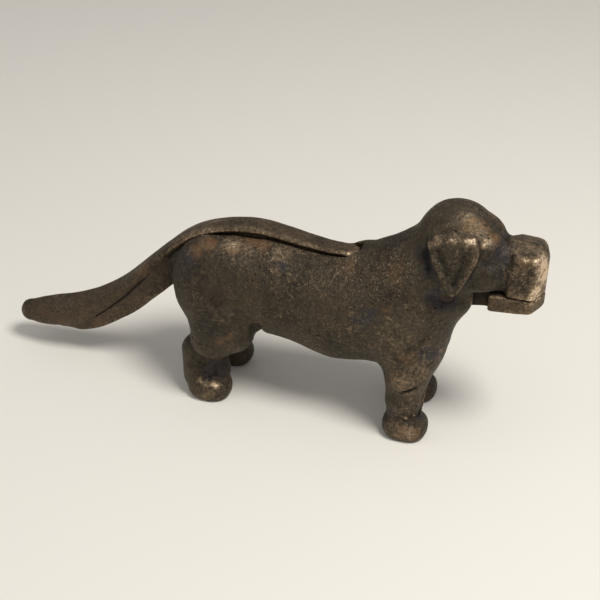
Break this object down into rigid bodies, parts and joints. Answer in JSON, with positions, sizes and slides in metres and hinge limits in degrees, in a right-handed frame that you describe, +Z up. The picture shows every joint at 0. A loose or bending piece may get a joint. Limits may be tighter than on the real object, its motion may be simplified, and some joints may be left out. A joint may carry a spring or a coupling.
{
  "type": "lever nutcracker press",
  "caption": "Cast-iron nutcracker in the shape of a standing dog: lifting the tail lever drops the lower jaw, pressing it down cracks the nut in the mouth.",
  "frame": {"origin": "centre of the whole object's box on the floor plane, under the trunk", "axes": "+X towards the nose, +Y towards the dog's left side, +Z up; the seam of the body halves lies in the plane Y = 0"},
  "size_m": [0.2788, 0.0566, 0.1232],
  "materials": {
    "body_iron": "aged dark brown, worn to bronze on the high spots",
    "lever_iron": "aged dark brown, polished by handling",
    "pin_steel": "dulled, peened ends"
  },
  "bodies": {
    "body": {"body_left_half": "body_iron", "body_right_half": "body_iron", "pivot_pin": "pin_steel", "haunch_rivet": "pin_steel", "flank_rivet": "pin_steel"},
    "lever": {"lever": "lever_iron"}
  },
  "joints": [
    {"name": "lever_pivot", "type": "hinge", "parent": "body", "child": "lever", "pos_m": [0.09695, 0, 0.08196], "axis": [0, 1, 0], "range_deg": [0, 35]}
  ]
}
